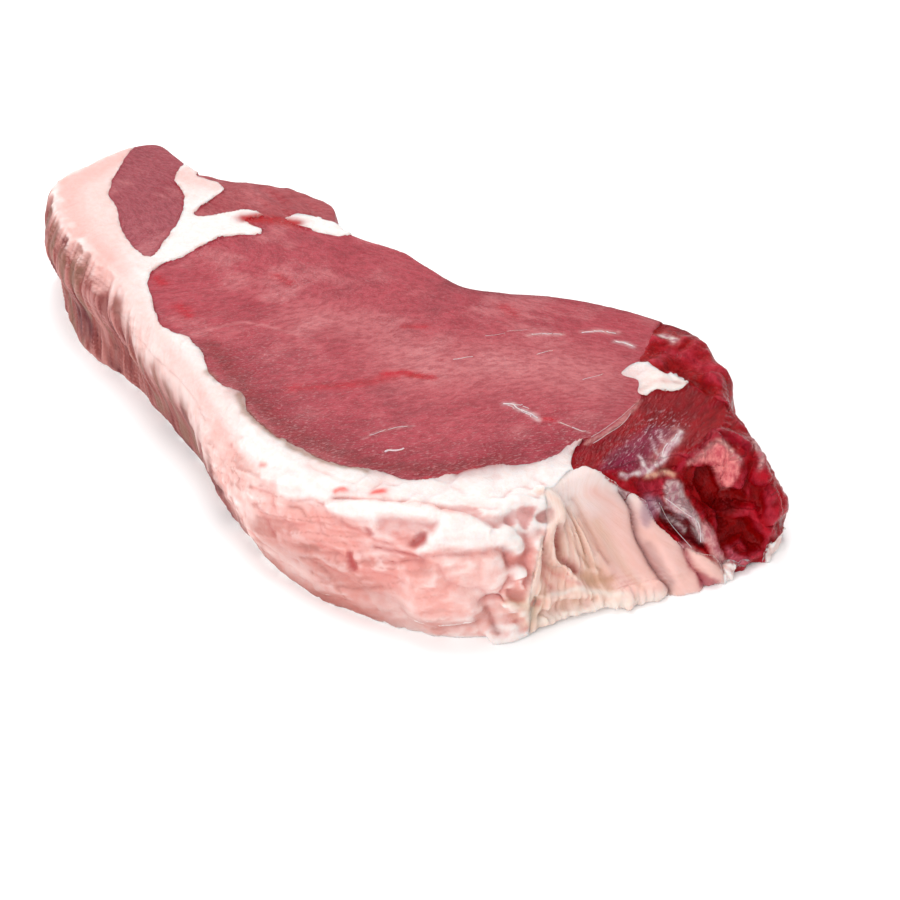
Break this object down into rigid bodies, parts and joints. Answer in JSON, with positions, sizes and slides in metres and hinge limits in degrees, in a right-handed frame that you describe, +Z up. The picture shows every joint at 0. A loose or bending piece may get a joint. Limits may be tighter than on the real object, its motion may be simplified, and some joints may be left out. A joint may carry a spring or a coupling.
{
  "type": "raw sirloin steak",
  "caption": "Raw boneless sirloin steak lying flat: large lean eye, fat cap round the front, tapering tail and a ragged lean end with sinew.",
  "frame": {"origin": "middle of the steak's box in plan, on the surface that it lies on", "axes": "+X along the steak from the thin tail to the thick chine end, -Y to the fat cap, +Z up out of the top face"},
  "size_m": [0.2153, 0.1042, 0.028],
  "materials": {
    "eye_muscle": "wet raw lean, fine grain, muted rose red",
    "fat_cap": "soft raw fat, cream white above and flushed pink on the wall",
    "tail_muscle": "wet raw lean, even rose red",
    "rib_strip": "wet raw lean, thin and slightly brighter",
    "end_muscle": "wet torn lean, deep red with dark pockets",
    "back_nodule": "wet torn lean, very glossy deep red",
    "seam_fat": "soft raw fat, cream white",
    "sinew_fan": "pleated sinew and membrane, tan to pink, moist",
    "chine_fat": "soft raw fat, pale pink"
  },
  "bodies": {
    "root": {"eye_muscle": "eye_muscle", "fat_cap": "fat_cap", "tail_muscle": "tail_muscle", "rib_strip": "rib_strip", "end_muscle": "end_muscle", "back_nodule": "back_nodule", "seam_fat": "seam_fat", "sinew_fan": "sinew_fan", "chine_fat": "chine_fat"}
  },
  "joints": []
}
